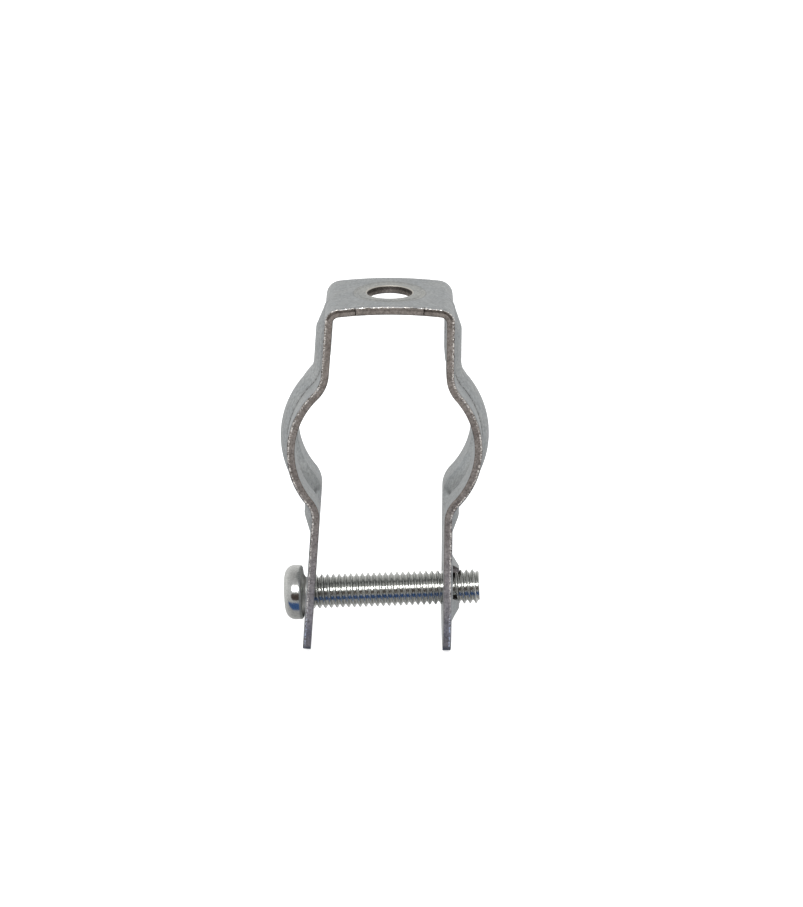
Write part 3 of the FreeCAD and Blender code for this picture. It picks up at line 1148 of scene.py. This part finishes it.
def add_surroundings():
    """A pale tent, dimmer in front and overhead, with a dark place where the camera stands."""
    world = bpy.data.worlds.new("studio")
    bpy.context.scene.world = world
    world.use_nodes = True
    nodes = Nodes(world.node_tree)
    look = nodes.coordinates("Generated")
    height = nodes.spread(nodes.split(look)["Z"], -1.0, 1.0)
    front = nodes.spread(nodes.split(look)["Y"], 0.3, -0.6)
    back_tone = nodes.ramp(height, (0.0, 0.46), (0.35, 0.82), (0.62, 0.90), (0.85, 0.70),
                           (1.0, 0.52))
    front_tone = nodes.ramp(height, (0.0, 0.38), (0.30, 0.54), (0.50, 0.66), (0.70, 0.72),
                            (1.0, 0.52))
    tone = nodes.mix(front, back_tone, front_tone)
    dark, dark_width, dark_height, dark_middle = (0.07, 0.05, 0.04), 0.66, 0.32, 0.075
    oval = nodes.stretch(look, (1 / dark_width, 1, 1 / dark_height),
                         (0, 1, -dark_middle / dark_height))
    tone = nodes.mix(nodes.ramp(nodes.length(oval), (0.85, 1.0), (1.0, 0.0)), tone, dark)
    nodes.link(tone, world.node_tree.nodes["Background"].inputs["Color"])


def add_blue_cloth():
    """Blue cloth low in front, below the floor, that only reflections show.

    Its upper edge falls away to both sides, so the screw sees it at one slope all along.
    """
    mesh = bpy.data.meshes.new("blue_cloth")
    half_width, front, bottom = 0.42, -0.10, -0.21
    slope, count, least = 0.37, 24, 0.001
    corners = []
    for step in range(count + 1):
        side = half_width * (2 * step / count - 1)
        top = -SCREW_DEPTH * MM - slope * math.hypot(front, side)
        corners += [(side, front, bottom), (side, front, max(top, bottom + least))]
    faces = [(2 * step, 2 * step + 2, 2 * step + 3, 2 * step + 1) for step in range(count)]
    mesh.from_pydata(corners, [], faces)
    cloth = bpy.data.materials.new("blue_cloth")
    cloth.use_nodes = True
    surface = cloth.node_tree.nodes["Principled BSDF"]
    surface.inputs["Base Color"].default_value = (0, 0, 0, 1)
    surface.inputs["Specular IOR Level"].default_value = 0.0
    # The cloth glows dim blue by its own emission, a light seen only in reflections.
    surface.inputs["Emission Color"].default_value = (0.05, 0.115, 0.29, 1)
    surface.inputs["Emission Strength"].default_value = 1.0
    mesh.materials.append(cloth)
    thing = add_object("blue_cloth", mesh)
    thing.visible_camera = False
    thing.visible_diffuse = False
    thing.visible_transmission = False


def aim(thing, place, target):
    """Put a lamp or the camera at a place and point it at a target."""
    thing.location = place
    thing.rotation_euler = (target - thing.location).to_track_quat("-Z", "Y").to_euler()


def add_key_light():
    """The one lamp, high in front and a little to the left."""
    light = bpy.data.lights.new("key", "AREA")
    light.shape = "ELLIPSE"
    light.size, light.size_y = KEY_SIZE
    light.energy = KEY_POWER
    aim(add_object("key", light), KEY_PLACE, Vector(KEY_TARGET))


def add_camera():
    """The photograph's view, shifted so that the clamp lies where it does there."""
    elevation = math.radians(VIEW_ELEVATION)
    camera = bpy.data.cameras.new("camera")
    camera.sensor_fit = "VERTICAL"
    camera.sensor_height = 36.0
    camera.lens = PIXELS_PER_METRE * VIEW_DISTANCE / IMAGE_HEIGHT * camera.sensor_height
    camera.shift_x = (IMAGE_WIDTH / 2 - TARGET_COLUMN) / IMAGE_HEIGHT
    camera.shift_y = (TARGET_ROW - IMAGE_HEIGHT / 2) / IMAGE_HEIGHT
    camera.clip_start = 0.01
    target = Vector(VIEW_TARGET)
    toward = Vector((0, -math.cos(elevation), math.sin(elevation)))
    thing = add_object("camera", camera)
    aim(thing, target + toward * VIEW_DISTANCE, target)
    bpy.context.scene.camera = thing


left_side = Side(-1, LEFT_SWING)
right_side = Side(1, RIGHT_SWING)
screw_axis = ScrewAxis(left_side, right_side)

strap_materials = [plate_material(), sheared_material(), torn_material()]
strap = strap_object(left_side, right_side, screw_axis, strap_materials)
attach(strap, "strap")
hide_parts("clamp_strap")

screw = screw_object(screw_axis, [screw_material()])
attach(screw, "screw")
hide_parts("clamp_screw")

add_floor()
add_camera()
add_surroundings()
add_blue_cloth()
add_key_light()
bpy.context.scene.view_settings.view_transform = "Standard"
